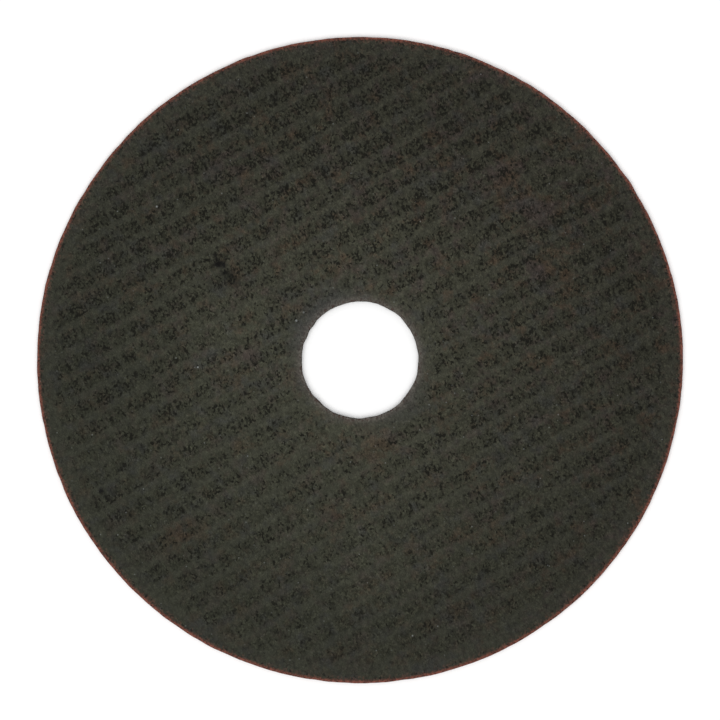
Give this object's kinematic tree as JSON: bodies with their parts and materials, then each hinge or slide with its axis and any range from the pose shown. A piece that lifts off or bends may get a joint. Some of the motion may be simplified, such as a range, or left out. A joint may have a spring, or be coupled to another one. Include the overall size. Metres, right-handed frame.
{
  "type": "cut off wheel",
  "caption": "Thin flat resin-bonded abrasive disc with a plain centre bore and a glass-fibre mesh pressed into its faces, for cutting metal on an angle grinder.",
  "frame": {"origin": "centre of the bore on the rear face, the one that the wheel lies on", "axes": "+Z along the bore's axis from the rear face to the front face, +X to the right and +Y up as the front face is seen"},
  "size_m": [0.125, 0.125, 0.0016],
  "materials": {
    "bonded_abrasive": "matt, granular between the smooth yarns of the mesh"
  },
  "bodies": {
    "root": {"cut_off_wheel": "bonded_abrasive"}
  },
  "joints": []
}
